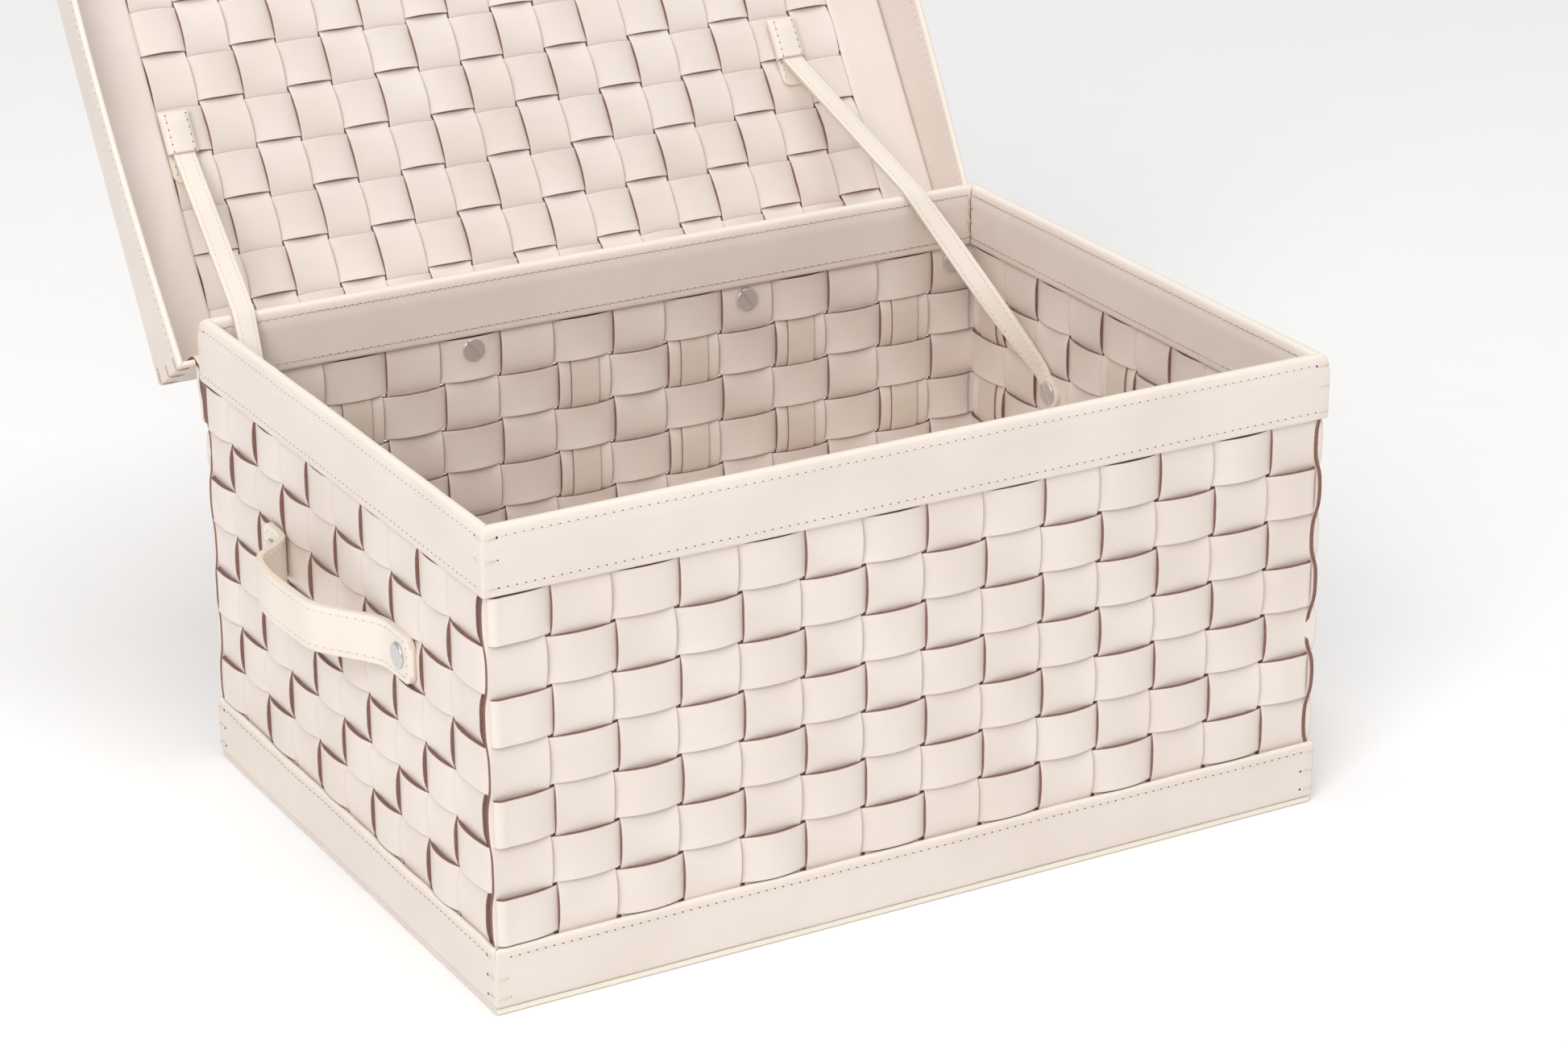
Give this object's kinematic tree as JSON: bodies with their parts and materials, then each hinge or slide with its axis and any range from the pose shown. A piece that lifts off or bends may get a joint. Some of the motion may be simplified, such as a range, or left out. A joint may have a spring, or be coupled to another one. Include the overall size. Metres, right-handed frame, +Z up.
{
  "type": "woven leather storage box",
  "caption": "Rectangular storage box woven from pale leather straps, with a hinged woven lid held open by two leather stays and a leather handle on each end.",
  "frame": {"origin": "centre of the sole's underside, on the floor", "axes": "+X along the length towards the right end seen from the front, -Y the front, +Z up"},
  "size_m": [0.503, 0.5451, 0.4908],
  "materials": {
    "strap_leather": "matte",
    "band_leather": "matte",
    "lining_leather": "matte",
    "fibreboard": "matte",
    "screw_steel": "satin",
    "polished_caps": "satin"
  },
  "bodies": {
    "box": {"sole_panel": "band_leather", "base_board": "fibreboard", "floor_lining": "lining_leather", "base_band_front": "band_leather", "base_band_right": "band_leather", "base_band_back": "band_leather", "base_band_left": "band_leather", "base_lining_front": "lining_leather", "base_lining_right": "lining_leather", "base_lining_back": "lining_leather", "base_lining_left": "lining_leather", "rim_band_front": "band_leather", "rim_band_right": "band_leather", "rim_band_back": "band_leather", "rim_band_left": "band_leather", "uprights_front": "strap_leather", "uprights_right": "strap_leather", "uprights_back": "strap_leather", "uprights_left": "strap_leather", "ribs_front": "lining_leather", "ribs_right": "lining_leather", "ribs_back": "lining_leather", "ribs_left": "lining_leather", "hoop_1": "strap_leather", "hoop_2": "strap_leather", "hoop_3": "strap_leather", "hoop_4": "strap_leather", "hoop_5": "strap_leather", "hoop_6": "strap_leather", "hoop_7": "strap_leather", "handle_left": "strap_leather", "handle_posts_left": "polished_caps", "handle_screws_left": "screw_steel", "stay_strap_left": "strap_leather", "handle_right": "strap_leather", "handle_posts_right": "polished_caps", "handle_screws_right": "screw_steel", "stay_strap_right": "strap_leather", "hinge_tab_1": "strap_leather", "hinge_tab_2": "strap_leather", "hinge_tab_3": "strap_leather", "hinge_tab_4": "strap_leather", "hinge_posts": "polished_caps", "hinge_screws": "screw_steel"},
    "lid": {"lid_wall_front": "band_leather", "lid_wall_right": "band_leather", "lid_wall_back": "band_leather", "lid_wall_left": "band_leather", "lid_frame_front": "lining_leather", "lid_frame_right": "lining_leather", "lid_frame_back": "lining_leather", "lid_frame_left": "lining_leather", "lid_top_frame": "lining_leather", "lid_long_straps": "strap_leather", "lid_cross_straps": "strap_leather", "stay_keeper_left": "strap_leather", "stay_keeper_right": "strap_leather"}
  },
  "joints": [
    {"name": "lid_hinge", "type": "hinge", "parent": "box", "child": "lid", "pos_m": [0, 0.1697, 0.2066], "axis": [1, 0, 0], "range_deg": [0, 123], "deforming": ["stay_strap_left", "stay_strap_right", "hinge_tab_1", "hinge_tab_2", "hinge_tab_3", "hinge_tab_4"]}
  ]
}
